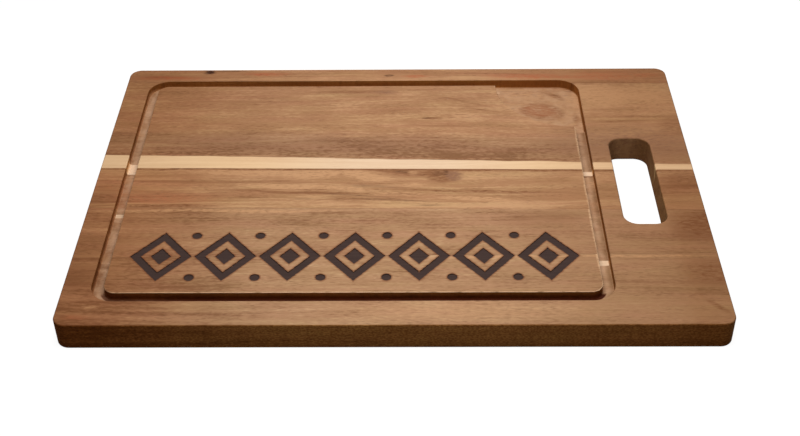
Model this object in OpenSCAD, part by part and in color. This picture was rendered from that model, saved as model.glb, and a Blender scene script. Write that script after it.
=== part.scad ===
// Steak board: edge-glued hardwood staves with a juice groove, a corner well and a hand slot

/* [Board] */
// Length along the grain
board_length = 400; // [360:1:520]
// Width across the staves
board_width = 280; // [264:1:340]
// Thickness
board_thickness = 18.5; // [14:0.5:30]
// Radius of the four corners, seen from above
corner_radius = 8; // [6:0.5:14]
// Rounding of the top and bottom edges
edge_radius = 1; // [0.5:0.1:4]

/* [Staves] */
// Width of the narrow stave along the back edge, at the middle of the board's length
back_stave_width = 19; // [15:0.5:28]
// Width of the broad stave that carries the pale sapwood
broad_stave_width = 107.9; // [90:0.1:116]
// Width of the stave under the middle of the board, at the middle of its length
middle_stave_width = 43.5; // [32:0.1:54]
// Width of the stave in front of the middle one, at the middle of its length
inner_stave_width = 47; // [32:0.1:56]
// How far the first three joints run askew, from the left end of the board to the right
joint_drift = 4.3; // [0:0.1:5]
// The same for the joint behind the front stave, which drifts backwards
front_joint_drift = 3.2; // [0:0.1:5]

/* [Juice groove] */
// Rim between the left edge and the groove
left_rim = 17.2; // [14.5:0.1:30]
// Rim between the back edge and the groove
back_rim = 15.9; // [14.5:0.1:30]
// Rim between the front edge and the groove
front_rim = 21.2; // [14.5:0.1:30]
// Field at the right, between the groove and the edge, that holds the hand slot
handle_field = 66.8; // [60:0.1:90]
// Width of the groove at the top face
groove_width = 7.5; // [6:0.1:11]
// Depth of the groove below the top face
groove_depth = 5.7; // [4.5:0.1:8]
// Outer radius of the groove's turns at the corners
groove_corner_radius = 15; // [12.5:0.1:20]
// Fillet between the walls and the floor of the groove and the well
floor_fillet = 1.2; // [0.5:0.1:2.5]
// Small bevel on the upper edges of the groove and the well
lip_bevel = 0.4; // [0.2:0.1:1]

/* [Corner well] */
// Radius of the quarter-round well in the back right corner of the cutting field
well_radius = 53.5; // [30:0.5:80]
// Depth of the well below the top face
well_depth = 7.2; // [5:0.1:10]

/* [Hand slot] */
// Opening of the slot along the board's width
slot_length = 94.5; // [70:0.5:120]
// Opening of the slot along the board's length
slot_width = 28; // [22:0.5:32]
// Wood between the slot and the right edge
slot_rim = 25.3; // [18:0.1:27]
// How far the slot's middle lies behind the middle of the board
slot_offset = 1; // [-10:0.5:10]
// Radius of the slot's four corners
slot_corner_radius = 9; // [5:0.5:10.5]
// Rounding of the slot's edges on both faces
slot_edge_radius = 1.2; // [0.4:0.1:3]

/* [Burned border] */
// Number of lozenges in the row along the front of the cutting field
lozenge_count = 7; // [3:1:9]
// Height of the row across the grain
lozenge_height = 46; // [24:1:60]
// Width of the burned line of each lozenge
lozenge_line = 5; // [2:0.5:6]
// Height of the small full lozenge in the middle of each large one
heart_height = 15; // [6:0.5:16]
// Diameter of the dots between the lozenges
dot_diameter = 6; // [3:0.5:9]
// Distance from the row to the edges of the cutting field
border_margin = 10.5; // [5:0.5:30]
// Gap between neighbouring lozenges
lozenge_gap = 2; // [1:0.5:6]
// Depth of the burned recesses
burn_depth = 0.6; // [0.3:0.1:1.5]

/* [Hidden] */
$fn = 96;

// How far a cut reaches beyond the face it opens
overcut = 1;

// The groove's outer outline, in plan
groove_length = board_length - left_rim - handle_field;
groove_span = board_width - back_rim - front_rim;
groove_x = (left_rim - handle_field) / 2;
groove_y = (front_rim - back_rim) / 2;

// The cutting field inside the groove
field_right = board_length / 2 - handle_field - groove_width;
field_left = -board_length / 2 + left_rim + groove_width;
field_back = board_width / 2 - back_rim - groove_width;
field_front = -board_width / 2 + front_rim + groove_width;

slot_x = board_length / 2 - slot_rim - slot_width / 2;

// The row of lozenges fills the field between its margins
lozenge_pitch = (field_right - field_left - 2 * border_margin) / lozenge_count;
lozenge_width = lozenge_pitch - lozenge_gap;
border_y = field_front + border_margin + lozenge_height / 2;
dot_y = lozenge_height / 2 - dot_diameter / 2;

// Where a line across the staves ends at the left and at the right of the board, in plan
function joint_ends(distance, drift) = [
    for (side = [-1, 1])
        [side * (board_length / 2 + overcut), board_width / 2 - distance - side * drift / 2]
];

// Joint lines between the staves and the outer edges, by their distance from the back edge
broad_start = back_stave_width;
middle_start = broad_start + broad_stave_width;
inner_start = middle_start + middle_stave_width;
front_start = inner_start + inner_stave_width;
back_edge = joint_ends(-overcut, 0);
back_joint = joint_ends(broad_start, joint_drift);
sapwood_joint = joint_ends(middle_start, joint_drift);
inner_joint = joint_ends(inner_start, joint_drift);
front_joint = joint_ends(front_start, -front_joint_drift);
front_edge = joint_ends(board_width + overcut, 0);

// Part of a lozenge's size that is left inside a line of the given width
function inner_share(w, h, line) = 1 - 2 * line * norm([w, h]) / (w * h);

module rounded_rectangle(w, h, radius) {
    square([w - 2 * radius, h], center = true);
    square([w, h - 2 * radius], center = true);
    for (x = [-1, 1], y = [-1, 1])
        translate([x * (w / 2 - radius), y * (h / 2 - radius)]) circle(radius);
}

// Sweeps a section round a rounded rectangle: the section's x points outwards and its y up
module along_outline(w, h, radius) {
    for (side = [0, 1])
        rotate(180 * side) {
            translate([w / 2, 0]) rotate([90, 0, 0])
                linear_extrude(h - 2 * radius, center = true) children();
            translate([0, h / 2]) rotate([90, 0, 90])
                linear_extrude(w - 2 * radius, center = true) children();
            translate([w / 2 - radius, h / 2 - radius])
                rotate_extrude(angle = 90) translate([radius, 0]) children();
            translate([radius - w / 2, h / 2 - radius])
                rotate(90) rotate_extrude(angle = 90) translate([radius, 0]) children();
        }
}

// What a round edge takes off a square one whose corner lies at the origin
module edge_waste(radius) {
    translate([-radius, -radius]) difference() {
        square(radius + overcut);
        circle(radius);
    }
}

// Cross-section of the groove, with its outer wall at x = 0 and the top face at y = 0
module groove_section() {
    translate([-groove_width, floor_fillet - groove_depth])
        square([groove_width, groove_depth - floor_fillet + overcut]);
    translate([floor_fillet - groove_width, -groove_depth])
        square([groove_width - 2 * floor_fillet, groove_depth]);
    for (x = [floor_fillet - groove_width, -floor_fillet])
        translate([x, floor_fillet - groove_depth]) circle(floor_fillet);
    polygon([
        [0, -lip_bevel],
        [lip_bevel + overcut, overcut],
        [-groove_width - lip_bevel - overcut, overcut],
        [-groove_width, -lip_bevel]
    ]);
}

module groove() {
    translate([groove_x, groove_y, board_thickness])
        along_outline(groove_length, groove_span, groove_corner_radius) groove_section();
}

// Round disc with a filleted floor, of which the well keeps a quarter
module well_disc() {
    rotate_extrude() {
        square([well_radius - floor_fillet, well_depth + overcut]);
        translate([0, floor_fillet])
            square([well_radius, well_depth - floor_fillet + overcut]);
        translate([well_radius - floor_fillet, floor_fillet]) circle(floor_fillet);
        polygon([
            [0, well_depth - lip_bevel],
            [well_radius, well_depth - lip_bevel],
            [well_radius + lip_bevel + overcut, well_depth + overcut],
            [0, well_depth + overcut]
        ]);
    }
}

// Pocket with the groove's outer outline and the well's depth
module well_pocket() {
    difference() {
        linear_extrude(well_depth + overcut)
            rounded_rectangle(groove_length, groove_span, groove_corner_radius);
        along_outline(groove_length, groove_span, groove_corner_radius)
            mirror([0, 1]) edge_waste(floor_fillet);
    }
}

// The well is centred on the corner where the cutting field's back and right edges would meet
module corner_well() {
    translate([0, 0, board_thickness - well_depth]) intersection() {
        translate([field_right, field_back]) well_disc();
        translate([groove_x, groove_y]) well_pocket();
    }
}

module hand_slot() {
    translate([slot_x, slot_offset, 0]) {
        translate([0, 0, -overcut]) linear_extrude(board_thickness + 2 * overcut)
            rounded_rectangle(slot_width, slot_length, slot_corner_radius);
        for (face = [0, 1])
            translate([0, 0, face * board_thickness]) mirror([0, 0, 1 - face])
                along_outline(slot_width, slot_length, slot_corner_radius)
                    mirror([1, 0]) edge_waste(slot_edge_radius);
    }
}

module lozenge(w, h) {
    polygon([[w / 2, 0], [0, h / 2], [-w / 2, 0], [0, -h / 2]]);
}

module lozenge_motif() {
    share = inner_share(lozenge_width, lozenge_height, lozenge_line);
    difference() {
        lozenge(lozenge_width, lozenge_height);
        lozenge(share * lozenge_width, share * lozenge_height);
    }
    lozenge(heart_height * lozenge_width / lozenge_height, heart_height);
}

// Shallow burned recesses in a row, with a pair of dots between neighbours
module burned_border() {
    first_x = field_left + border_margin + lozenge_pitch / 2;
    translate([0, border_y, board_thickness - burn_depth]) linear_extrude(burn_depth + overcut) {
        for (i = [0 : lozenge_count - 1])
            translate([first_x + i * lozenge_pitch, 0]) lozenge_motif();
        for (i = [1 : lozenge_count - 1], side = [-1, 1])
            translate([first_x + (i - 0.5) * lozenge_pitch, side * dot_y])
                circle(d = dot_diameter);
    }
}

module blank() {
    difference() {
        linear_extrude(board_thickness)
            rounded_rectangle(board_length, board_width, corner_radius);
        for (face = [0, 1])
            translate([0, 0, face * board_thickness]) mirror([0, 0, 1 - face])
                along_outline(board_length, board_width, corner_radius)
                    edge_waste(edge_radius);
    }
}

module shaped_board() {
    difference() {
        blank();
        groove();
        corner_well();
        hand_slot();
        burned_border();
    }
}

// One stave of the finished board, between the joint line behind it and the one in front of it
module stave(behind, before) {
    intersection() {
        shaped_board();
        translate([0, 0, -overcut]) linear_extrude(board_thickness + 2 * overcut)
            polygon([behind[0], before[0], before[1], behind[1]]);
    }
}

module back_stave() {
    color("#A86C48") stave(back_edge, back_joint);
}

module broad_stave() {
    color("#B98C63") stave(back_joint, sapwood_joint);
}

// Everything on one side of the slot's middle: side is -1 for the left and 1 for the right
module beside_slot(side) {
    reach = board_length + 2 * overcut;
    translate([slot_x + side * reach / 2, 0, board_thickness / 2])
        cube([reach, board_width + 2 * overcut, board_thickness + 2 * overcut], center = true);
}

// The hand slot cuts the middle stave through, which leaves its right end as a block of its own
module middle_stave() {
    color("#AE8055") intersection() {
        stave(sapwood_joint, inner_joint);
        beside_slot(-1);
    }
}

module middle_stave_end() {
    color("#A5784F") intersection() {
        stave(sapwood_joint, inner_joint);
        beside_slot(1);
    }
}

module inner_stave() {
    color("#B08A60") stave(inner_joint, front_joint);
}

module front_stave() {
    color("#A87B55") stave(front_joint, front_edge);
}

back_stave();
broad_stave();
middle_stave();
middle_stave_end();
inner_stave();
front_stave();
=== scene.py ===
"""Looks of the steak board: its staves, burned border, stage, lamp and camera."""

import math
from typing import NamedTuple

import bmesh
import bpy
from mathutils import Matrix, Vector


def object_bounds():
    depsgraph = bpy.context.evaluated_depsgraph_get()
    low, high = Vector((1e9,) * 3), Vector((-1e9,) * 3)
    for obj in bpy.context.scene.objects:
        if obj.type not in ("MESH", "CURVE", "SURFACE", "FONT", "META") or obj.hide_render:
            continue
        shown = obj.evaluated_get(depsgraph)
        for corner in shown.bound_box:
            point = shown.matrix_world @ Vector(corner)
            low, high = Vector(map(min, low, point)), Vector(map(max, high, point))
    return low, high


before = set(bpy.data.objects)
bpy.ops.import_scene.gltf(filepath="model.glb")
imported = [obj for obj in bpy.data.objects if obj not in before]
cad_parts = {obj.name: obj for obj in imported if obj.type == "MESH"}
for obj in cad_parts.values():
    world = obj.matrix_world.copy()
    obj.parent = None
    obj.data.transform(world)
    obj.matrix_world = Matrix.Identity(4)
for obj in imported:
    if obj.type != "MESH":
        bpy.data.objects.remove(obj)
CAD_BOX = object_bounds()

bl_info = {
    "name": "Steak board",
    "version": (1, 0, 0),
    "blender": (4, 5, 0),
    "location": "View3D > Sidebar > Steak board",
    "description": "Dresses the staves of a wooden steak board and sets its stage",
    "category": "Object",
}

MM = 0.001
SENSOR_WIDTH = 36.0
# Lengths in the wood's own patterns are in millimetres, as the solids' sizes are
HALF_LENGTH, HALF_WIDTH, BOARD_TOP = (side / MM for side in CAD_BOX[1])
# Each joint: its place at the middle of the board, and how steeply it runs askew
BACK_JOINT = (121.0, -0.0107)
SAPWOOD_JOINT = (13.1, -0.0107)
INNER_JOINT = (-30.4, -0.0107)
FRONT_JOINT = (-77.4, 0.008)
# The cutting field inside the juice groove: its middle, half its sides and its corners' radius
FIELD_MIDDLE = (-24.8, 2.65)
FIELD_REACH = (150.5, 113.95)
FIELD_CORNER = 7.5
FIELD_RIGHT = FIELD_MIDDLE[0] + FIELD_REACH[0]
GROOVE_WIDTH = 7.5
# Spans over which one kind of place passes into the next: depths under the top face, a distance
# from the outer sides, and places along (x) and across (y) the grain
BURN_DEPTH = (1.2, 0.9)
BEVEL_DEPTH = (0.75, 0.5)
FLOOR_DEPTH = (3.2, 4.2)
WELL_DEPTH = (6.1, 6.6)
OUTER_SIDE = (2.5, 1.5)
SLOT_X = (138.0, 144.0)
FRONT_GROOVE_Y = (-106.0, -108.5)


def paint(red, green, blue):
    """A colour as it looks on a screen, from 0 to 255, as the linear colour of a socket"""

    def linear(value):
        value /= 255
        return value / 12.92 if value <= 0.04045 else ((value + 0.055) / 1.055) ** 2.4

    return (linear(red), linear(green), linear(blue), 1.0)


# --------------------------------------------------------------------------- settings


def length_setting(name, description, default):
    return bpy.props.FloatProperty(
        name=name, description=description, default=default, min=0, unit="LENGTH"
    )


def number_setting(name, description, default):
    return bpy.props.FloatProperty(name=name, description=description, default=default)


def colour_setting(name, description, default):
    return bpy.props.FloatVectorProperty(
        name=name,
        description=description,
        subtype="COLOR",
        size=4,
        min=0,
        default=default,
    )


class StageSettings(bpy.types.PropertyGroup):
    """Floor, lamp, sky and camera"""

    floor_size: length_setting("Floor", "Side of the square floor", 12.0)
    floor_drop: length_setting("Floor drop", "Gap between the underside and the floor", 0.0001)
    floor_colour: colour_setting(
        "Floor colour", "Colour of the light that the floor gives back", (0.22, 0.21, 0.2, 1)
    )
    floor_glow: number_setting("Floor glow", "White that is seen but lights nothing", 0.93)
    lamp_place: bpy.props.FloatVectorProperty(
        name="Lamp", description="Place of the overhead lamp", subtype="XYZ", unit="LENGTH",
        default=(0.015, -0.045, 0.4485),
    )
    lamp_width: length_setting("Lamp width", "Size of the lamp along the grain", 0.4)
    lamp_depth: length_setting("Lamp depth", "Size of the lamp across the grain", 0.6)
    lamp_power: bpy.props.FloatProperty(
        name="Lamp power", description="Power of the overhead lamp", unit="POWER",
        default=2.4, min=0,
    )
    sky_colour: colour_setting("Sky", "Colour of the light all round", (1.0, 0.97, 0.94, 1))
    sky_strength: number_setting("Sky strength", "Strength of the light all round", 0.1)
    lens: number_setting("Lens", "Focal length in millimetres on a 36 mm sensor", 57.441)
    camera_place: bpy.props.FloatVectorProperty(
        name="Camera", description="Place of the camera", subtype="XYZ", unit="LENGTH",
        default=(0.01183, -0.68145, 0.52762),
    )
    camera_angles: bpy.props.FloatVectorProperty(
        name="Camera angles", description="Heading, dip and roll of the camera",
        subtype="EULER", unit="ROTATION",
        default=(math.radians(-0.746), math.radians(38.47), math.radians(-0.643)),
    )
    camera_shift: bpy.props.FloatVectorProperty(
        name="Camera shift", description="Sideways and upward shift of the picture", size=2,
        default=(-0.000625, 0.000625),
    )


class WoodSettings(bpy.types.PropertyGroup):
    """Colours and finish of the oiled acacia, and the painted shade and highlights on it"""

    light: colour_setting("Light wood", "Palest heartwood", paint(205, 156, 114))
    tan: colour_setting("Tan wood", "Usual heartwood", paint(179, 129, 92))
    brown: colour_setting("Brown wood", "Late growth and darker heartwood", paint(142, 95, 63))
    dark: colour_setting("Dark wood", "Knots and darkest streaks", paint(74, 42, 27))
    red: colour_setting("Reddish wood", "Reddish heartwood", paint(186, 104, 70))
    rose: colour_setting("Rosy wood", "Mottled pinkish heartwood", paint(152, 110, 84))
    sapwood: colour_setting("Sapwood", "Pale sapwood stripe", paint(246, 213, 178))
    sapwood_ends: colour_setting("Sapwood ends", "Its yellower ends", paint(248, 209, 163))
    sapwood_floors: colour_setting(
        "Sapwood floors", "Its dry floors in the grooves", paint(246, 214, 184)
    )
    milled: colour_setting(
        "Milled wood", "Drier floors of the grooves and the well", paint(220, 178, 144)
    )
    # Painted highlight on the small bevels of the inner edges and along the cutting field's edge
    worn: colour_setting("Worn wood", "Small bevels of the inner edges", paint(246, 203, 161))
    # Painted shade on the groove floors beside their outer walls
    damp: colour_setting(
        "Damp tint", "Cast of the floors beside the outer walls", (0.55, 0.5, 0.42, 1)
    )
    golden_tint: colour_setting("Golden tint", "Cast of the golden parts", (0.99, 1.02, 0.97, 1))
    rosy_tint: colour_setting("Rosy tint", "Cast of the rosy parts", (1.03, 0.99, 1.01, 1))
    dull_tint: colour_setting(
        "Dull tint", "Cast of the heartwood beside the sapwood", (0.96, 1.0, 1.04, 1)
    )
    # Wall, slot and side tints: partly oil, partly painted shade of the upright faces
    wall_tint: colour_setting(
        "Wall tint", "How the walls of the grooves darken", (0.6, 0.42, 0.2, 1)
    )
    # Colour of the painted shadow on the front wall of the groove
    foot_tint: colour_setting("Foot tint", "Cast of the front wall's foot", (0.3, 0.13, 0.07, 1))
    slot_tint: colour_setting("Slot tint", "How the slot's walls darken", (1.0, 0.99, 0.84, 1))
    side_tint: colour_setting("Side tint", "How the outer sides darken", (1.0, 0.76, 0.4, 1))
    # Colour of the saw marks, and of the painted shade in the slot
    saw_tint: colour_setting("Saw tint", "Cast of the saw marks on cut walls", (0.6, 0.54, 0.46, 1))
    # Painted shade that darkens both ends of the board
    end_tint: colour_setting("End tint", "How the wood darkens to both ends", (0.8, 0.71, 0.62, 1))
    roughness: number_setting("Roughness", "Roughness of the oiled faces", 0.58)
    gloss: number_setting("Gloss", "Specular level of the oiled faces", 0.06)
    relief: number_setting("Relief", "Strength of the relief of fibres and pores", 0.5)
    relief_height: length_setting("Relief height", "Height of fibres and pores", 0.1 * MM)


class BorderSettings(bpy.types.PropertyGroup):
    """The burned row of lozenges and dots"""

    first_x: number_setting(
        "First lozenge", "Middle of the first lozenge along the grain, mm", -144.8
    )
    row_y: number_setting("Row", "Middle of the row across the grain, mm", -77.8)
    pitch: number_setting("Pitch", "Distance between the lozenges, mm", 40.0)
    count: bpy.props.IntProperty(name="Count", description="Number of lozenges", default=7, min=1)
    width: number_setting("Width", "Width of a lozenge, mm", 38.0)
    height: number_setting("Height", "Height of a lozenge, mm", 46.0)
    line: number_setting("Line", "Width of the burned line, mm", 5.0)
    heart: number_setting("Heart", "Height of the small full lozenge, mm", 15.0)
    dot_y: number_setting("Dot offset", "Distance of the dots from the row's middle, mm", 20.0)
    dot: number_setting("Dot", "Diameter of the dots, mm", 6.0)
    char: colour_setting("Char", "Burned wood", paint(58, 46, 44))
    ash: colour_setting("Ash", "Paler fibres of the burned wood", paint(84, 68, 62))
    toast: colour_setting("Toast", "Scorched wood round the burned lines", paint(120, 66, 38))


# --------------------------------------------------------------------------- shader nodes


class Wires:
    """Places shader nodes in one tree and joins them"""

    def __init__(self, tree, made=()):
        self.tree = tree
        self.made = made

    def place(self, kind, **settings):
        node = self.tree.nodes.new("ShaderNode" + kind)
        for name, value in settings.items():
            setattr(node, name, value)
        return node

    def feed(self, socket, value):
        if isinstance(value, bpy.types.NodeSocket):
            self.tree.links.new(value, socket)
        else:
            socket.default_value = value

    def math(self, operation, *values):
        node = self.place("Math", operation=operation)
        for socket, value in zip(node.inputs, values):
            self.feed(socket, value)
        return node.outputs[0]

    def add(self, *values):
        total = values[0]
        for value in values[1:]:
            total = self.math("ADD", total, value)
        return total

    def times(self, *values):
        product = values[0]
        for value in values[1:]:
            product = self.math("MULTIPLY", product, value)
        return product

    def minus(self, first, second):
        return self.math("SUBTRACT", first, second)

    def rest(self, value):
        """What the value leaves of 1"""
        return self.minus(1.0, value)

    def over(self, first, second):
        return self.math("DIVIDE", first, second)

    def size(self, value):
        return self.math("ABSOLUTE", value)

    def about(self, value, amount):
        """A value from 0 to 1, as a swing to either side of zero"""
        return self.times(self.minus(value, 0.5), amount)

    def moved(self, vector, along=0.0, across=0.0):
        """The place, moved along and across the grain"""
        node = self.place("VectorMath", operation="ADD")
        self.feed(node.inputs[0], vector)
        self.feed(node.inputs[1], self.join(along, across, 0.0))
        return node.outputs[0]

    def diagonal(self, first, second):
        """Length of the diagonal of two sides"""
        squares = self.add(self.times(first, first), self.times(second, second))
        return self.math("SQRT", squares)

    def split(self, vector):
        node = self.place("SeparateXYZ")
        self.feed(node.inputs[0], vector)
        return node.outputs

    def join(self, x, y, z):
        node = self.place("CombineXYZ")
        for socket, value in zip(node.inputs, (x, y, z)):
            self.feed(socket, value)
        return node.outputs[0]

    def ease(self, value, start, end, low=0.0, high=1.0):
        """Goes smoothly from low to high as the value goes from start to end"""
        node = self.place("MapRange", interpolation_type="SMOOTHSTEP")
        for socket, number in zip(node.inputs, (value, start, end, low, high)):
            self.feed(socket, number)
        return node.outputs[0]

    def spread(self, value, reach=0.2):
        """Stretches a noise value round one half to the whole range from 0 to 1"""
        node = self.place("MapRange")
        for socket, number in zip(node.inputs, (value, 0.5 - reach, 0.5 + reach, 0.0, 1.0)):
            self.feed(socket, number)
        return node.outputs[0]

    def noise(self, vector, cell, shift=0.0, detail=2.0, roughness=0.5, distortion=0.0):
        """Noise whose cells measure cell = (along, across, down) in the vector's unit"""
        mapping = self.place("Mapping")
        self.feed(mapping.inputs["Vector"], vector)
        mapping.inputs["Location"].default_value = (shift, 1.7 * shift, 0.6 * shift)
        mapping.inputs["Scale"].default_value = [1 / side for side in cell]
        node = self.place("TexNoise")
        self.feed(node.inputs["Vector"], mapping.outputs[0])
        node.inputs["Scale"].default_value = 1.0
        node.inputs["Detail"].default_value = detail
        node.inputs["Roughness"].default_value = roughness
        node.inputs["Distortion"].default_value = distortion
        return node.outputs[0]

    def mix(self, amount, under, over, kind="MIX"):
        """The colour under, turned into the colour over by an amount from 0 to 1"""
        node = self.place("Mix", data_type="RGBA", blend_type=kind)
        # The node's sockets for numbers and vectors come before those for colours
        self.feed(node.inputs[0], amount)
        self.feed(node.inputs[6], under)
        self.feed(node.inputs[7], over)
        return node.outputs[2]

    def mix_number(self, amount, under, over):
        """The value under, turned into the value over by an amount from 0 to 1"""
        return self.add(under, self.times(amount, self.minus(over, under)))

    def use(self, build, **values):
        """Places the group that build makes, feeds its inputs by name and returns its outputs"""
        node = self.place("Group")
        node.node_tree = bpy.data.node_groups.get(build.__name__) or build(build.__name__)
        for name, value in values.items():
            self.feed(node.inputs[name.replace("_", " ").capitalize()], value)
        return node.outputs

    def show(self, output, shader):
        """Ends the tree of a material or a world in its output, which shows the shader"""
        node = self.place("Output" + output)
        self.feed(node.inputs["Surface"], shader.outputs[0])

    def give(self, **values):
        """Feeds what a group gives out, by name, and returns its tree"""
        for name, value in values.items():
            self.feed(self.made[name.capitalize()], value)
        return self.tree


def empty_tree(owner):
    """Wires in the node tree of a new material or world, with nothing in it"""
    owner.use_nodes = True
    owner.node_tree.nodes.clear()
    return Wires(owner.node_tree)


def new_group(name, inputs, outputs):
    """An empty group from its sockets, listed by kind: its wires, and what it is given"""
    tree = bpy.data.node_groups.new(name, "ShaderNodeTree")
    kinds = {"vector": "NodeSocketVector", "number": "NodeSocketFloat", "colour": "NodeSocketColor"}
    for in_out, sockets in (("INPUT", inputs), ("OUTPUT", outputs)):
        for kind, labels in sockets.items():
            for label in labels.split(", "):
                tree.interface.new_socket(name=label, in_out=in_out, socket_type=kinds[kind])
    source = tree.nodes.new("NodeGroupInput")
    sink = tree.nodes.new("NodeGroupOutput")
    return Wires(tree, sink.inputs), source.outputs


def growth_rings(name):
    """Growth rings: shells round a pith line that lies askew below or beside the board"""
    wires, given = new_group(
        name,
        {"vector": "Place, Pith", "number": "Drift, Waver, Width, Seed"},
        {"number": "Bands, Lines"},
    )
    x, y, z = wires.split(given["Place"])
    _, pith_y, pith_z = wires.split(given["Pith"])
    across = wires.minus(wires.minus(y, pith_y), wires.times(given["Drift"], x))
    down = wires.minus(z, pith_z)
    place = wires.moved(given["Place"], along=wires.times(given["Seed"], 137.0))
    sway = wires.noise(place, (150, 48, 60), 3.1, detail=1.5)
    ripple = wires.noise(place, (34, 11, 20), 8.4, detail=1.0)
    shake = wires.add(wires.minus(sway, 0.5), wires.times(wires.minus(ripple, 0.5), 0.22))
    radius = wires.add(wires.diagonal(across, down), wires.times(shake, given["Waver"]))
    shells = wires.join(
        wires.over(radius, given["Width"]), wires.over(x, 420.0), wires.times(given["Seed"], 5.3)
    )
    bands = wires.noise(shells, (1.0, 1.0, 1.0), 0.0, detail=1.0, roughness=0.45)
    lines = wires.noise(shells, (0.17, 0.6, 1.0), 5.0, detail=2.5, roughness=0.6)
    return wires.give(bands=wires.spread(bands), lines=wires.spread(lines, 0.22))


def fine_grain(name):
    """Fine grain: fibres, open pores, streaks, short flecks, soft clouds and casts of hue"""
    wires, given = new_group(
        name,
        {"vector": "Place", "number": "Seed"},
        {"number": "Fibre, Pores, Streaks, Fleck, Cloud, Hue"},
    )
    place = wires.moved(given["Place"], along=wires.times(given["Seed"], 61.0))
    fibre = wires.noise(place, (38, 0.9, 0.9), 2.0, detail=3.0, roughness=0.62)
    pores = wires.noise(place, (4.0, 0.45, 0.45), 6.0, detail=0.0)
    crowd = wires.noise(place, (70, 8, 12), 4.0, detail=1.0)
    streaks = wires.noise(place, (75, 2.6, 3.0), 11.0, detail=2.0, distortion=0.15)
    fleck = wires.noise(place, (4.5, 1.3, 1.6), 9.0, detail=2.0, distortion=0.4)
    cloud = wires.noise(place, (34, 14, 30), 7.0, detail=2.0)
    hue = wires.noise(place, (48, 7, 10), 13.0, detail=3.0)
    crowded = wires.ease(crowd, 0.4, 0.62, 0.2, 1.0)
    return wires.give(
        fibre=wires.spread(fibre, 0.22),
        pores=wires.times(wires.ease(pores, 0.6, 0.74), crowded),
        streaks=wires.spread(streaks),
        fleck=wires.spread(fleck),
        cloud=wires.spread(cloud),
        hue=wires.spread(hue),
    )


def leaf_shape(name):
    """Soft-edged leaf-shaped mark that lies along the grain"""
    wires, given = new_group(
        name,
        {"vector": "Place, Middle, Reach", "number": "Slope, Core"},
        {"number": "Mask"},
    )
    x, y, _ = wires.split(given["Place"])
    middle_x, middle_y, _ = wires.split(given["Middle"])
    reach_x, reach_y, _ = wires.split(given["Reach"])
    along = wires.minus(x, middle_x)
    across = wires.minus(wires.minus(y, middle_y), wires.times(given["Slope"], along))
    distance = wires.diagonal(wires.over(along, reach_x), wires.over(across, reach_y))
    return wires.give(mask=wires.ease(distance, 1.0, given["Core"]))


def glue_lines(name):
    """Thin lines where the staves meet"""
    wires, given = new_group(name, {"vector": "Place"}, {"number": "Line"})
    x, y, _ = wires.split(given["Place"])
    nearest = HALF_WIDTH
    for middle, slope in (BACK_JOINT, SAPWOOD_JOINT, INNER_JOINT, FRONT_JOINT):
        joint = wires.add(middle, wires.times(x, slope))
        nearest = wires.math("MINIMUM", nearest, wires.size(wires.minus(y, joint)))
    return wires.give(line=wires.ease(nearest, 0.5, 0.1))


def groove_place(name):
    """Place across the juice groove, from 0 at the cutting field to 1 at the outer wall"""
    wires, given = new_group(name, {"vector": "Place"}, {"number": "Across"})
    beyond = []
    for value, middle, reach in zip(wires.split(given["Place"]), FIELD_MIDDLE, FIELD_REACH):
        past = wires.minus(wires.size(wires.minus(value, middle)), reach - FIELD_CORNER)
        beyond.append(wires.math("MAXIMUM", past, 0.0))
    away = wires.minus(wires.diagonal(*beyond), FIELD_CORNER)
    return wires.give(across=wires.over(away, GROOVE_WIDTH))


def lozenge_row(name):
    """Signed distance from the burned shapes of the border, negative inside them"""
    wires, given = new_group(
        name,
        {"vector": "Place",
         "number": "First x, Row y, Pitch, Count, Width, Height, Line, Heart, Dot y, Dot"},
        {"number": "Distance"},
    )
    x, y, _ = wires.split(given["Place"])
    from_first = wires.minus(x, given["First x"])
    half_pitch = wires.times(given["Pitch"], 0.5)
    u = wires.math("PINGPONG", from_first, half_pitch)
    v = wires.size(wires.minus(y, given["Row y"]))

    def lozenge(width, height):
        half_width, half_height = wires.times(width, 0.5), wires.times(height, 0.5)
        rise = wires.add(wires.over(u, half_width), wires.over(v, half_height), -1.0)
        steepness = wires.diagonal(wires.over(1.0, half_width), wires.over(1.0, half_height))
        return wires.over(rise, steepness)

    outline = lozenge(given["Width"], given["Height"])
    ring = wires.math("MAXIMUM", outline, wires.minus(wires.times(outline, -1.0), given["Line"]))
    narrow = wires.over(wires.times(given["Heart"], given["Width"]), given["Height"])
    heart = lozenge(narrow, given["Heart"])
    # A dot needs a lozenge on both sides of it, and the row's ends have one
    between = wires.minus(half_pitch, u)
    dot_away = wires.diagonal(between, wires.minus(v, given["Dot y"]))
    dot = wires.minus(dot_away, wires.times(given["Dot"], 0.5))
    last = wires.times(given["Pitch"], wires.minus(given["Count"], 1.0))
    beyond = wires.math("MAXIMUM", wires.times(from_first, -1.0), wires.minus(from_first, last))
    dot = wires.math("MAXIMUM", dot, beyond)
    row = wires.math("MAXIMUM", beyond, 0.0)
    shapes = wires.math("MINIMUM", ring, wires.math("MINIMUM", heart, dot))
    # Past the ends of the row the pattern would go on for ever
    past = wires.minus(row, wires.times(given["Width"], 0.5))
    return wires.give(distance=wires.math("MAXIMUM", shapes, past))


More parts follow.
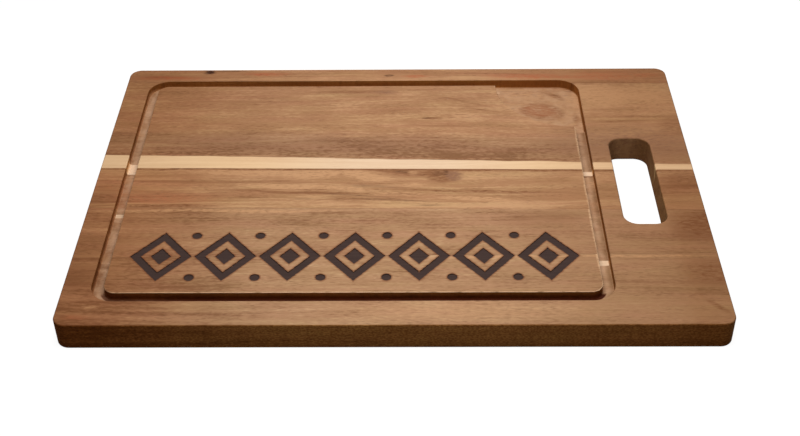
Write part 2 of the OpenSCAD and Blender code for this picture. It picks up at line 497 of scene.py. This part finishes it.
def milled_floors(name):
    """Milled floors: dry and pale in blotches, with painted shade beside the grooves' outer walls
    """
    wires, given = new_group(
        name,
        {"vector": "Place, Normal", "number": "Across, Blotch", "colour": "Colour, Milled, Damp"},
        {"colour": "Colour", "number": "Floor"},
    )
    x, _, z = wires.split(given["Place"])
    _, _, up = wires.split(given["Normal"])
    depth = wires.minus(BOARD_TOP, z)
    floor = wires.times(wires.ease(up, 0.75, 0.98), wires.ease(depth, *FLOOR_DEPTH))
    in_well = wires.ease(depth, *WELL_DEPTH)
    blotches = wires.ease(given["Blotch"], 0.35, 0.65, 0.2, 0.85)
    dryness = wires.mix_number(in_well, wires.ease(x, 60.0, 120.0, 1.0, 0.7), 0.45)
    colour = wires.mix(wires.times(floor, blotches, dryness), given["Colour"], given["Milled"])
    # Painted shade beside the outer walls, stronger towards the right
    wall_shade_strength = wires.ease(x, -60.0, 60.0, 0.6, 1.0)
    beside_wall = wires.times(wires.ease(given["Across"], 0.3, 0.95), wires.rest(in_well))
    damp = wires.times(floor, beside_wall, wall_shade_strength)
    return wires.give(colour=wires.mix(damp, colour, given["Damp"], "MULTIPLY"), floor=floor)


def walls_oil_and_shade(name):
    """Walls and sides, darker partly from oil and partly by painted shade, and the painted
    highlight on the cutting field's bevel
    """
    wires, given = new_group(
        name,
        {"vector": "Place, Normal",
         "number": "Across, Blotch",
         "colour": "Colour, Worn, Wall tint, Slot tint, Side tint"},
        {"colour": "Colour", "number": "Cut, Wall, Outer"},
    )
    x, y, z = wires.split(given["Place"])
    side_x, _, side_z = wires.split(given["Normal"])
    depth = wires.minus(BOARD_TOP, z)
    # A wall starts where an outer edge begins to round, and where an inner edge's bevel ends
    from_ends = wires.minus(HALF_LENGTH, wires.size(x))
    from_sides = wires.minus(HALF_WIDTH, wires.size(y))
    outer = wires.ease(wires.math("MINIMUM", from_ends, from_sides), *OUTER_SIDE)
    steep = wires.rest(wires.size(side_z))
    cut = wires.ease(steep, 0.08, 0.2)
    start, end = wires.ease(outer, 0.0, 1.0, 0.35, 0.03), wires.ease(outer, 0.0, 1.0, 0.6, 0.4)
    wall = wires.ease(steep, start, end)
    bevel = wires.times(
        wires.ease(given["Across"], 0.3, 0.15), wires.ease(given["Across"], -0.3, -0.15),
        wires.ease(depth, *BEVEL_DEPTH), cut,
    )
    # Painted highlight on the bevels, in blotches, strongest on those facing right, to make up for
    # their shade
    blotches = wires.ease(given["Blotch"], 0.3, 0.55, 0.25, 1.0)
    worn = wires.times(bevel, blotches, wires.ease(side_x, -0.5, -0.2, 0.4, 1.0))
    colour = wires.mix(worn, given["Colour"], given["Worn"])
    # The left groove's walls are dark only above: their oil darkening and painted shade fade out
    # towards the floor
    facing_along = wires.ease(wires.size(side_x), 0.6, 0.9)
    on_left = wires.times(facing_along, wires.ease(x, 10.0, -10.0), wires.rest(outer))
    paler = wires.times(on_left, wires.ease(depth, 2.4, 4.4), 0.75)
    wall = wires.times(wall, wires.rest(bevel), wires.rest(paler))
    # The walls' and sides' darkening is partly oil and partly painted shade
    tint = wires.mix(wires.ease(x, *SLOT_X), given["Wall tint"], given["Slot tint"])
    tint = wires.mix(outer, tint, given["Side tint"])
    return wires.give(
        colour=wires.mix(wall, colour, tint, "MULTIPLY"),
        cut=cut,
        wall=wall,
        outer=outer,
    )


def front_wall_shadow(name):
    """Painted shadow on the wall in front of the cutting field, darkest at its foot"""
    wires, given = new_group(
        name,
        {"vector": "Place", "number": "Across, Outer", "colour": "Colour, Foot tint"},
        {"colour": "Colour"},
    )
    x, y, z = wires.split(given["Place"])
    depth = wires.minus(BOARD_TOP, z)
    front_shadow = wires.times(
        wires.ease(given["Across"], 0.42, 0.3), wires.ease(y, *FRONT_GROOVE_Y),
        wires.ease(x, -175.0, -110.0, 0.6, 1.0), wires.rest(given["Outer"]),
    )
    colour = given["Colour"]
    # Painted shadow down the wall, and deepest at its foot
    for start, end in ((0.6, 5.0), (4.6, 5.5)):
        amount = wires.times(front_shadow, wires.ease(depth, start, end), 0.9)
        colour = wires.mix(amount, colour, given["Foot tint"], "MULTIPLY")
    return wires.give(colour=colour)


def saw_marks(name):
    """Saw marks on all walls, outer sides darker towards their foot, and painted shade on the
    slot's right wall
    """
    wires, given = new_group(
        name,
        {"vector": "Place", "number": "Fibre, Wall, Outer", "colour": "Colour, Saw tint"},
        {"colour": "Colour"},
    )
    x, y, z = wires.split(given["Place"])
    saw = wires.noise(given["Place"], (1.7, 1.7, 8.0), 6.0, detail=3.0, roughness=0.65)
    speck = wires.noise(given["Place"], (1.6, 0.8, 0.8), 3.0, detail=1.0)
    specked = wires.add(
        wires.about(given["Fibre"], 0.7), wires.about(wires.spread(speck, 0.18), 1.4), 0.3
    )
    foot = wires.ease(z, 9.0, 1.0, 0.0, 0.35)
    on_sides = wires.times(wires.add(specked, foot), given["Outer"])
    shade = wires.add(wires.times(wires.spread(saw), 0.45), on_sides)
    in_slot = wires.times(wires.ease(x, 160.0, 172.0), wires.rest(given["Outer"]))
    # Painted shade on the slot's right wall, deepest towards its back corner
    slot_shade = wires.times(in_slot, wires.ease(y, 5.0, 38.0, 0.55, 1.0))
    colour = given["Colour"]
    for amount in (shade, slot_shade):
        amount = wires.times(given["Wall"], amount)
        colour = wires.mix(amount, colour, given["Saw tint"], "MULTIPLY")
    return wires.give(colour=colour)


def painted_end_shade(name):
    """Painted shade: both ends of the board are darker, but less so on floors, inner walls and
    sapwood
    """
    wires, given = new_group(
        name,
        {"vector": "Place", "number": "Floor, Wall, Outer, Sapwood", "colour": "Colour, End tint"},
        {"colour": "Colour"},
    )
    x, y, _ = wires.split(given["Place"])
    ends = wires.times(wires.ease(wires.size(x), 60.0, 200.0), wires.ease(x, 0.0, 100.0, 1.0, 0.8))
    # The painted shade deepens at the front right corner
    front_right = wires.times(wires.ease(x, 165.0, 195.0), wires.ease(y, 10.0, -20.0), 0.5)
    inner_wall = wires.times(given["Wall"], wires.rest(given["Outer"]))
    ends = wires.add(ends, front_right)
    for part, share in ((given["Floor"], 0.6), (given["Sapwood"], 0.75), (inner_wall, 0.7)):
        ends = wires.times(ends, wires.rest(wires.times(part, share)))
    return wires.give(colour=wires.mix(ends, given["Colour"], given["End tint"], "MULTIPLY"))


def burned_wood(name):
    """Burned wood inside the border's shapes, and the scorched wood round them"""
    wires, given = new_group(
        name,
        {"vector": "Place",
         "number": "Distance, Fleck, Fibre",
         "colour": "Colour, Toast, Char, Ash"},
        {"colour": "Colour", "number": "Burned"},
    )
    _, _, z = wires.split(given["Place"])
    on_top = wires.ease(wires.minus(BOARD_TOP, z), *BURN_DEPTH)
    rough_edge = wires.add(given["Distance"], wires.about(given["Fleck"], 0.5))
    scorched = wires.times(wires.ease(rough_edge, 1.5, 0.0), on_top, 0.7)
    burned = wires.times(wires.ease(rough_edge, 0.3, -0.15), on_top)
    colour = wires.mix(scorched, given["Colour"], given["Toast"])
    charred = wires.mix(wires.times(given["Fibre"], 0.5), given["Char"], given["Ash"])
    return wires.give(colour=wires.mix(wires.times(burned, 0.97), colour, charred), burned=burned)


# --------------------------------------------------------------------------- the wood


# What the growth rings and the fine grain add to the wood's lightness
RING_PARTS = ("Bands", "Lines")
GRAIN_PARTS = ("Streaks", "Fibre", "Fleck", "Cloud")


class Mark(NamedTuple):
    """A leaf-shaped mark along the grain, in one of the wood's colours"""

    tint: str
    strength: float
    middle: tuple
    reach: tuple
    slope: float = 0.0
    # Share of its reach over which the mark is at its full
    core: float = 0.15


class Figure(NamedTuple):
    """What makes one stave's wood its own"""

    seed: float
    # Middle of the growth rings, how it drifts across the grain, and how they waver and how
    # wide they are
    pith: tuple
    drift: float
    waver: float
    width: float
    # How far the grain sways across the board
    sway: float
    # Lightness at the left end, in the middle and at the right end
    tones: tuple
    # How much each of the ring parts and grain parts changes the lightness
    contrast: tuple
    marks: tuple
    cast: tuple = (1, 1, 1)


def lip_highlight_line(strength, y, reach):
    """A painted highlight: the pale line just inside the cutting field's right edge"""
    return Mark("worn", strength, (FIELD_RIGHT - 0.3, y), (1.5, reach), core=0.3)


def heartwood(wires, wood, figure, place, growth, grain, sapwood):
    """Colour of the oiled heartwood, from its rings, fibres, flecks and casts of hue"""
    x, y, _ = wires.split(place)
    # Lightness, from 0 for late growth to 1 for early growth
    left, middle, right = figure.tones
    light = wires.add(
        wires.ease(x, -190.0, -20.0, left, middle), wires.ease(x, 40.0, 190.0, 0.0, right - middle)
    )
    calm = wires.ease(x, 50.0, 130.0, 1.0, 0.65)
    parts = [growth[part] for part in RING_PARTS] + [grain[part] for part in GRAIN_PARTS]
    for part, amount in zip(parts, figure.contrast):
        light = wires.add(light, wires.times(wires.about(part, amount), calm))
    if sapwood:
        # Beside the sapwood the heartwood is duller and full of short flecks
        near = wires.ease(wires.add(y, wires.times(x, 0.03)), 60.0, 46.0)
        flecked = wires.add(wires.about(grain["Fleck"], 0.22), -0.05)
        light = wires.add(light, wires.times(near, flecked))
    colour = wires.mix(wires.ease(light, 0.0, 0.55), wood.brown, wood.tan)
    colour = wires.mix(wires.ease(light, 0.5, 1.1), colour, wood.light)
    cast = wires.mix(grain["Hue"], wood.golden_tint, wood.rosy_tint)
    colour = wires.mix(1.0, colour, cast, "MULTIPLY")
    if sapwood:
        colour = wires.mix(near, colour, wood.dull_tint, "MULTIPLY")
    inward = wires.math(
        "MAXIMUM", wires.ease(wires.size(x), 190.0, 90.0), wires.ease(x, 90.0, 120.0)
    )
    return wires.mix(inward, colour, (*figure.cast, 1.0), "MULTIPLY")


def marked(wires, wood, figure, place, grain, floor, colour):
    """The colour with the stave's marks, some of them painted light, shade or highlight, mottled
    and on a slightly ragged grain
    """
    wander = wires.add(wires.about(grain["Fibre"], 1.6), wires.about(grain["Cloud"], 1.6))
    ragged = wires.moved(place, across=wander)
    mottle = wires.add(1.0, wires.about(grain["Fleck"], 1.6))
    for one in figure.marks:
        mask = wires.use(
            leaf_shape, place=ragged, middle=(*one.middle, 0.0), reach=(*one.reach, 1.0),
            slope=one.slope, core=one.core,
        )["Mask"]
        # Pale bits of sapwood show only where the grooves have cut down to them
        show = floor if one.tint == "sapwood" else mottle
        amount = wires.times(mask, show, one.strength)
        colour = wires.mix(amount, colour, getattr(wood, one.tint))
    return colour


def sapwood_stripe(wires, wood, place, grain, floor, colour):
    """The colour with the pale stripe along the broad stave's front edge, and its mask"""
    x, y, z = wires.split(place)
    # Its border with the heartwood runs askew and leans with the depth
    waver = wires.noise(place, (40, 400, 9), 2.5, detail=2.0)
    edge = wires.add(24.2, wires.times(x, -0.033), wires.about(waver, 3.0))
    lean = wires.times(wires.minus(BOARD_TOP, z), 0.62)
    stripe = wires.ease(wires.minus(y, wires.minus(edge, lean)), 0.6, -0.6)
    pale = wires.mix(wires.ease(wires.size(x), 20.0, 110.0), wood.sapwood, wood.sapwood_ends)
    dull = wires.add(wires.times(grain["Streaks"], 0.25), wires.ease(x, 80.0, 150.0, 0.0, 0.25))
    pale = wires.mix(dull, pale, wood.light)
    pale = wires.mix(wires.times(grain["Fleck"], grain["Cloud"], 0.22), pale, wood.light)
    pale = wires.mix(wires.times(floor, 0.7), pale, wood.sapwood_floors)
    return wires.mix(stripe, colour, pale), stripe


def wood_material(name, context, figure, sapwood=False, burned=False):
    """Oiled acacia: growth rings, fibres and pores, marks, cut faces with painted shade and
    highlights, and burned border
    """
    wood = context.scene.board_wood
    material = bpy.data.materials.new(name)
    wires = empty_tree(material)
    coordinates = wires.place("TexCoord")
    scaled = wires.place("VectorMath", operation="SCALE")
    wires.feed(scaled.inputs[0], coordinates.outputs["Object"])
    scaled.inputs["Scale"].default_value = 1 / MM
    place, normal = scaled.outputs[0], coordinates.outputs["Normal"]

    sway = wires.noise(place, (120, 24, 60), 3.7 * figure.seed, detail=2.0)
    bent = wires.moved(place, across=wires.about(sway, figure.sway))
    growth = wires.use(
        growth_rings, place=bent, pith=figure.pith, drift=figure.drift, waver=figure.waver,
        width=figure.width, seed=figure.seed,
    )
    grain = wires.use(fine_grain, place=bent, seed=figure.seed)
    colour = heartwood(wires, wood, figure, place, growth, grain, sapwood)

    blotch = wires.noise(place, (7, 7, 7), 4.0, detail=3.0)
    across = wires.use(groove_place, place=place)["Across"]
    floors = wires.use(
        milled_floors, place=place, normal=normal, across=across, blotch=blotch, colour=colour,
        milled=wood.milled, damp=wood.damp,
    )
    floor = floors["Floor"]
    colour = marked(wires, wood, figure, place, grain, floor, floors["Colour"])
    pores, stripe = grain["Pores"], 0.0
    if sapwood:
        colour, stripe = sapwood_stripe(wires, wood, place, grain, floor, colour)
        pores = wires.times(pores, wires.rest(stripe))
    colour = wires.mix(wires.times(pores, 0.28), colour, wood.dark)
    glue = wires.use(glue_lines, place=place)["Line"]
    colour = wires.mix(wires.times(glue, 0.22), colour, wood.dark)

    walls = wires.use(
        walls_oil_and_shade, place=place, normal=normal, across=across, blotch=blotch, colour=colour,
        worn=wood.worn, wall_tint=wood.wall_tint, slot_tint=wood.slot_tint,
        side_tint=wood.side_tint,
    )
    wall, outer = walls["Wall"], walls["Outer"]
    colour = wires.use(
        front_wall_shadow, place=place, across=across, outer=outer, colour=walls["Colour"],
        foot_tint=wood.foot_tint,
    )["Colour"]
    colour = wires.use(
        saw_marks, place=place, fibre=grain["Fibre"], wall=wall, outer=outer, colour=colour,
        saw_tint=wood.saw_tint,
    )["Colour"]
    colour = wires.use(
        painted_end_shade, place=place, floor=floor, wall=wall, outer=outer, sapwood=stripe,
        colour=colour, end_tint=wood.end_tint,
    )["Colour"]

    roughness = wires.add(
        wood.roughness, wires.times(pores, 0.2), wires.about(grain["Fibre"], 0.1),
        wires.times(walls["Cut"], 0.4),
    )
    height = wires.add(wires.times(grain["Fibre"], 0.35), wires.times(growth["Lines"], 0.2))
    height = wires.minus(height, pores)
    if burned:
        border = context.scene.board_border
        sizes = {key: getattr(border, key) for key in (
            "first_x", "row_y", "pitch", "count", "width", "height", "line", "heart", "dot_y", "dot"
        )}
        away = wires.use(lozenge_row, place=place, **sizes)["Distance"]
        burn = wires.use(
            burned_wood, place=place, distance=away, fleck=grain["Fleck"], fibre=grain["Fibre"],
            colour=colour, toast=border.toast, char=border.char, ash=border.ash,
        )
        colour = burn["Colour"]
        roughness = wires.add(roughness, wires.times(burn["Burned"], 0.25))

    shader = wires.place("BsdfPrincipled")
    wires.feed(shader.inputs["Base Color"], colour)
    wires.feed(shader.inputs["Roughness"], roughness)
    shader.inputs["Specular IOR Level"].default_value = wood.gloss
    bump = wires.place("Bump")
    bump.inputs["Strength"].default_value = wood.relief
    bump.inputs["Distance"].default_value = wood.relief_height
    wires.feed(bump.inputs["Height"], height)
    wires.feed(shader.inputs["Normal"], bump.outputs[0])
    wires.show("Material", shader)
    return material


def dress(node, material):
    """Gives a stave its material"""
    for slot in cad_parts[node].material_slots:
        slot.material = material


class BOARD_OT_back_stave(bpy.types.Operator):
    """Gives the narrow back stave its reddish wood with two small knots"""

    bl_idname = "steak_board.back_stave"
    bl_label = "Back stave"

    def execute(self, context):
        marks = (
            Mark("red", 0.5, (-168, 128), (38, 4.5)),
            Mark("red", 0.6, (-98, 133), (24, 4.0)),
            Mark("red", 0.6, (13, 129.7), (14, 3.0)),
            Mark("red", 0.55, (98, 129), (48, 5.5), -0.03),
            Mark("red", 0.42, (152, 129), (42, 9)),
            Mark("red", 0.3, (186, 130), (18, 5.0)),
            Mark("dark", 0.8, (-140.5, 135.4), (6.5, 3.6), core=0.3),
            Mark("dark", 0.5, (-124, 137.6), (18, 1.6)),
            Mark("dark", 0.65, (-6, 131), (5, 1.8), core=0.4),
        )
        figure = Figure(
            seed=1.0, pith=(0, 20, -60), drift=0.004, waver=3.0, width=7.0, sway=4.0,
            tones=(0.78, 0.72, 0.47), marks=marks,
            contrast=(0.55, 0.3, 0.4, 0.2, 0.2, 0.3),
        )
        dress("back_stave", wood_material("back_wood", context, figure))
        return {"FINISHED"}


class BOARD_OT_broad_stave(bpy.types.Operator):
    """Gives the broad stave its tan wood with the pale sapwood along its front edge"""

    bl_idname = "steak_board.broad_stave"
    bl_label = "Broad stave"

    def execute(self, context):
        marks = (
            Mark("brown", 0.6, (-34, 108.5), (38, 2.4)),
            Mark("brown", 0.35, (-110, 96), (60, 2.0), -0.01),
            Mark("rose", 0.3, (-60, 42), (230, 18), -0.03),
            Mark("rose", 0.5, (-8, 107.5), (12, 4.0)),
            Mark("rose", 0.55, (164, 44), (90, 30), -0.02),
            Mark("brown", 0.4, (48, 95), (34, 1.8), -0.38),
            Mark("brown", 0.35, (62, 84), (34, 1.6), -0.3),
            Mark("light", 0.65, (-30, 52), (22, 1.3), -0.02),
            Mark("light", 0.5, (22, 71.8), (16, 1.2)),
            Mark("brown", 0.8, (25, 73.6), (10, 1.6), core=0.3),
            Mark("dark", 0.5, (20.8, 73.8), (4, 1.4), core=0.4),
            Mark("brown", 0.4, (30, 64), (34, 1.5), -0.06),
            Mark("brown", 0.45, (56, 85), (14, 1.1), -0.15),
            Mark("light", 0.5, (73, 108), (8, 5), -0.2),
            Mark("light", 0.22, (106, 96), (50, 36), core=0.5),
            Mark("light", 0.45, (92, 113), (26, 9)),
            Mark("light", 0.5, (126, 106), (6, 4), -1.3),
            Mark("brown", 0.65, (116, 112.5), (11, 4.5), -0.6),
            Mark("brown", 0.45, (105.5, 92.5), (18.5, 12.5), -0.16, 0.75),
            Mark("red", 0.2, (103, 94), (18, 11), -0.16, 0.4),
            # Painted highlight on a lip near the field's back edge
            Mark("worn", 0.5, (74, 116), (3, 8), core=0.3),
            Mark("brown", 0.6, (140, 118), (8, 1.2), core=0.3),
            Mark("brown", 0.5, (129, 83), (4, 8)),
            # Painted shade in the groove's back right corner, beside the well
            Mark("brown", 0.55, (128, 119), (5, 4)),
            Mark("milled", 0.45, (-179, 92), (4.2, 20), core=0.4),
            # Painted highlight along the field's right edge
            lip_highlight_line(0.34, 40, 26),
            Mark("light", 1.0, (148, 103), (28, 18), -0.1, 0.4),
            # Painted light keeping the back right corner bright
            Mark("light", 0.75, (182, 101), (28, 18), -0.2),
            Mark("brown", 0.5, (174, 75), (30, 1.8), 0.04),
            # Painted shade at the board's end
            Mark("brown", 0.4, (196, 64), (18, 18)),
            Mark("brown", 0.5, (158, 69), (30, 1.8), 0.03),
        )
        figure = Figure(
            seed=2.0, pith=(0, 85, -95), drift=-0.02, waver=9.0, width=9.0, sway=9.0,
            tones=(0.65, 0.43, 0.74), marks=marks, cast=(0.985, 1.02, 1.04),
            contrast=(0.5, 0.32, 0.3, 0.18, 0.35, 0.36),
        )
        dress("broad_stave", wood_material("broad_wood", context, figure, sapwood=True))
        return {"FINISHED"}


class BOARD_OT_middle_staves(bpy.types.Operator):
    """Gives the middle stave and its end beyond the hand slot their wavy brown wood"""

    bl_idname = "steak_board.middle_staves"
    bl_label = "Middle staves"

    def execute(self, context):
        middle, slope = SAPWOOD_JOINT
        marks = (
            Mark("red", 0.15, (-185, -6), (90, 22)),
            Mark("red", 0.28, (-150, -20), (50, 9)),
            Mark("light", 0.95, (-80, 9.4), (80, 4.4), -0.002, 0.5),
            Mark("light", 0.95, (-58, 5.8), (36, 5.2)),
            # Painted highlight along the field's right edge
            lip_highlight_line(0.34, -8, 28),
            Mark("tan", 0.85, (-96, -14.5), (24, 5.0)),
            Mark("tan", 0.6, (106, -19), (34, 4.5)),
            Mark("light", 0.45, (136, 3), (28, 9)),
            # Painted shade at the board's end
            Mark("brown", 0.5, (-194, -18), (22, 12)),
            Mark("brown", 0.45, (-112, -0.6), (78, 2.6), -0.01, 0.3),
            Mark("light", 0.85, (-68, -6.3), (50, 3.8), -0.05, 0.4),
            Mark("light", 0.8, (-30, -9), (18, 3.6), -0.12, 0.4),
            Mark("brown", 0.65, (-72, -12.2), (48, 1.7), -0.05, 0.4),
            Mark("dark", 0.32, (-26, -16.2), (30, 1.5), -0.11, 0.3),
            Mark("light", 0.6, (-56, -17), (13, 1.7)),
            Mark("dark", 0.3, (-59, -19.4), (14, 1.0)),
            Mark("brown", 0.5, (-31, -20.5), (20, 5), -0.1),
            Mark("brown", 0.7, (-150, -26.5), (48, 2.6), 0.0, 0.4),
            Mark("light", 0.85, (-20, 4.5), (24, 6.5), -0.24, 0.4),
            Mark("brown", 0.6, (-8, 10.8), (26, 1.9), -0.14, 0.4),
            Mark("dark", 0.25, (-12, -6.6), (26, 1.7), -0.11, 0.4),
            Mark("brown", 0.6, (56, -12.4), (80, 2.4), -0.035, 0.4),
            Mark("light", 0.6, (12, -5), (13, 4.2)),
            Mark("light", 0.45, (2, -15), (30, 3.2), -0.08, 0.3),
            Mark("light", 0.75, (54, -20.3), (36, 3.4), -0.08, 0.4),
            Mark("dark", 0.35, (-2, -21.2), (34, 1.5), -0.06, 0.4),
            Mark("dark", 0.3, (22, -27.5), (13, 1.3)),
            Mark("brown", 0.62, (16, 7.5), (32, 6.5)),
            Mark("brown", 0.8, (31, 5), (14, 10), core=0.5),
            Mark("rose", 0.7, (39, 5.5), (8, 8.5), core=0.4),
            Mark("dark", 0.3, (29, 8), (7, 5), core=0.3),
            Mark("dark", 0.45, (33.5, 10), (2.5, 5), core=0.3),
            Mark("dark", 0.5, (4, 10.8), (7, 3.6), core=0.3),
            Mark("light", 0.55, (11.5, 9), (5, 5)),
            # Painted shade at the board's end
            Mark("brown", 0.5, (190, 0), (24, 14)),
            Mark("brown", 0.8, (0, middle - 0.9), (260, 1.5), slope, 0.6),
        )
        figure = Figure(
            seed=3.0, pith=(0, -70, -50), drift=0.012, waver=7.0, width=7.0, sway=12.0,
            tones=(0.84, 0.64, 0.44), marks=marks, cast=(0.98, 1.03, 1.04),
            contrast=(0.5, 0.4, 0.4, 0.22, 0.3, 0.3),
        )
        material = wood_material("middle_wood", context, figure)
        dress("middle_stave", material)
        dress("middle_stave_end", material)
        return {"FINISHED"}


class BOARD_OT_inner_stave(bpy.types.Operator):
    """Gives the inner stave its even golden wood and its part of the burned border"""

    bl_idname = "steak_board.inner_stave"
    bl_label = "Inner stave"

    def execute(self, context):
        middle, slope = INNER_JOINT
        marks = (
            Mark("light", 0.75, (-118, middle - 1.7), (112, 2.0), slope, 0.4),
            Mark("light", 0.5, (100, middle - 1.2), (50, 1.3), slope, 0.4),
            # Painted shade at the board's end
            Mark("brown", 0.55, (-196, -66), (34, 16)),
            Mark("brown", 0.3, (94, -44), (38, 14)),
            # Painted shade at the board's end
            Mark("brown", 0.85, (197, -48), (32, 26)),
            Mark("sapwood", 0.85, (-179, middle + 0.2), (9, 2.3), slope, 0.75),
            # Painted highlight along the field's right edge
            lip_highlight_line(0.42, -44, 36),
        )
        figure = Figure(
            seed=4.0, pith=(0, 60, -120), drift=0.008, waver=5.0, width=8.0, sway=6.0,
            tones=(0.44, 0.47, 0.4), marks=marks, cast=(0.99, 1.1, 1.18),
            contrast=(0.3, 0.2, 0.24, 0.2, 0.35, 0.3),
        )
        dress("inner_stave", wood_material("inner_wood", context, figure, burned=True))
        return {"FINISHED"}


class BOARD_OT_front_stave(bpy.types.Operator):
    """Gives the front stave its tan wood and its part of the burned border"""

    bl_idname = "steak_board.front_stave"
    bl_label = "Front stave"

    def execute(self, context):
        middle, slope = FRONT_JOINT
        marks = (
            # Painted shade at the board's end
            Mark("brown", 0.6, (-198, -96), (34, 17)),
            # Painted shade at the board's end
            Mark("brown", 0.6, (196, -94), (30, 20)),
            Mark("light", 0.6, (90, middle - 1.4), (118, 1.4), slope, 0.5),
            Mark("light", 0.6, (160, middle - 1.4), (46, 1.3), slope, 0.4),
            Mark("sapwood", 0.85, (129.5, middle - 1.0), (9, 2.7), slope, 0.75),
            Mark("brown", 0.6, (191, -124), (9, 4), -0.9),
            Mark("light", 0.35, (40, -128), (110, 15)),
            # Painted highlight along the field's right edge
            lip_highlight_line(0.42, -78, 22),
            Mark("light", 0.5, (-180, -124), (7, 2)),
            Mark("red", 0.25, (-188, -133), (14, 4)),
        )
        figure = Figure(
            seed=5.0, pith=(0, -60, -110), drift=-0.01, waver=7.0, width=9.0, sway=6.0,
            tones=(0.26, 0.58, 0.45), marks=marks, cast=(1.0, 1.13, 1.21),
            contrast=(0.42, 0.28, 0.3, 0.2, 0.35, 0.3),
        )
        dress("front_stave", wood_material("front_wood", context, figure, burned=True))
        return {"FINISHED"}


# --------------------------------------------------------------------------- the stage


def seen_directly(wires):
    """1 for the rays that show the backdrop itself: from the camera, in gloss and through glass"""
    path = wires.place("LightPath")
    rays = path.outputs["Is Camera Ray"]
    for name in ("Is Glossy Ray", "Is Transmission Ray"):
        rays = wires.math("MAXIMUM", rays, path.outputs[name])
    return rays


def floor_material(stage):
    """Pale floor that keeps the board's shadow and gives little light back"""
    material = bpy.data.materials.new("pale_floor")
    wires = empty_tree(material)
    matte = wires.place("BsdfDiffuse")
    matte.inputs["Color"].default_value = stage.floor_colour
    glow = wires.place("Emission")
    wires.feed(glow.inputs["Strength"], wires.times(seen_directly(wires), stage.floor_glow))
    both = wires.place("AddShader")
    wires.feed(both.inputs[0], matte.outputs[0])
    wires.feed(both.inputs[1], glow.outputs[0])
    wires.show("Material", both)
    return material


def build_sky(scene, stage):
    """White to look at, with a low even light"""
    world = bpy.data.worlds.new("sky")
    scene.world = world
    wires = empty_tree(world)
    white = wires.place("Background")
    white.inputs["Color"].default_value = (1, 1, 1, 1)
    low = wires.place("Background")
    low.inputs["Color"].default_value = stage.sky_colour
    low.inputs["Strength"].default_value = stage.sky_strength
    choice = wires.place("MixShader")
    wires.feed(choice.inputs[0], seen_directly(wires))
    wires.feed(choice.inputs[1], low.outputs[0])
    wires.feed(choice.inputs[2], white.outputs[0])
    wires.show("World", choice)


def build_floor(scene, stage):
    mesh = bpy.data.meshes.new("floor")
    sheet = bmesh.new()
    bmesh.ops.create_grid(sheet, x_segments=1, y_segments=1, size=stage.floor_size / 2)
    bmesh.ops.translate(sheet, verts=sheet.verts, vec=(0, 0, -stage.floor_drop))
    sheet.to_mesh(mesh)
    sheet.free()
    mesh.materials.append(floor_material(stage))
    floor = bpy.data.objects.new("floor", mesh)
    scene.collection.objects.link(floor)


def build_lamp(scene, stage):
    """One soft lamp close overhead, so that the light falls off towards both ends"""
    light = bpy.data.lights.new("overhead_lamp", "AREA")
    light.shape = "RECTANGLE"
    light.size = stage.lamp_width
    light.size_y = stage.lamp_depth
    light.energy = stage.lamp_power
    lamp = bpy.data.objects.new("overhead_lamp", light)
    lamp.location = stage.lamp_place
    scene.collection.objects.link(lamp)


def build_camera(scene, stage):
    heading, dip, roll = stage.camera_angles
    forward = Vector(
        (math.sin(heading) * math.cos(dip), math.cos(heading) * math.cos(dip), -math.sin(dip))
    )
    level = forward.cross(Vector((0, 0, 1))).normalized()
    right = Matrix.Rotation(-roll, 3, forward) @ level
    turn = Matrix((right, right.cross(forward), -forward)).transposed()
    view = bpy.data.cameras.new("camera")
    view.sensor_width = SENSOR_WIDTH
    view.lens = stage.lens
    view.shift_x, view.shift_y = stage.camera_shift
    view.clip_start = 0.01
    camera = bpy.data.objects.new("camera", view)
    camera.matrix_world = Matrix.LocRotScale(Vector(stage.camera_place), turn, None)
    scene.collection.objects.link(camera)
    scene.camera = camera


class BOARD_OT_stage(bpy.types.Operator):
    """Builds the floor, the sky, the overhead lamp and the camera"""

    bl_idname = "steak_board.stage"
    bl_label = "Stage"

    def execute(self, context):
        stage = context.scene.board_stage
        build_floor(context.scene, stage)
        build_sky(context.scene, stage)
        build_lamp(context.scene, stage)
        build_camera(context.scene, stage)
        context.scene.view_settings.view_transform = "Standard"
        return {"FINISHED"}


class BOARD_PT_panel(bpy.types.Panel):
    """Lists the sizes, the colours and the buttons of the board"""

    bl_idname = "BOARD_PT_panel"
    bl_label = "Steak board"
    bl_space_type = "VIEW_3D"
    bl_region_type = "UI"
    bl_category = "Steak board"

    def draw(self, context):
        for operator in OPERATORS:
            self.layout.operator(operator.bl_idname)
        for key in SETTINGS:
            settings = getattr(context.scene, key)
            box = self.layout.box()
            for name in settings.__annotations__:
                box.prop(settings, name)


SETTINGS = {
    "board_stage": StageSettings,
    "board_wood": WoodSettings,
    "board_border": BorderSettings,
}
OPERATORS = (
    BOARD_OT_stage,
    BOARD_OT_back_stave,
    BOARD_OT_broad_stave,
    BOARD_OT_middle_staves,
    BOARD_OT_inner_stave,
    BOARD_OT_front_stave,
)


def register():
    for kind in (*SETTINGS.values(), *OPERATORS, BOARD_PT_panel):
        bpy.utils.register_class(kind)
    for key, kind in SETTINGS.items():
        setattr(bpy.types.Scene, key, bpy.props.PointerProperty(type=kind))


def unregister():
    for key in SETTINGS:
        delattr(bpy.types.Scene, key)
    for kind in reversed((*SETTINGS.values(), *OPERATORS, BOARD_PT_panel)):
        bpy.utils.unregister_class(kind)


def main():
    register()
    for operator in OPERATORS:
        group, name = operator.bl_idname.split(".")
        getattr(getattr(bpy.ops, group), name)()


if __name__ == "__main__":
    main()
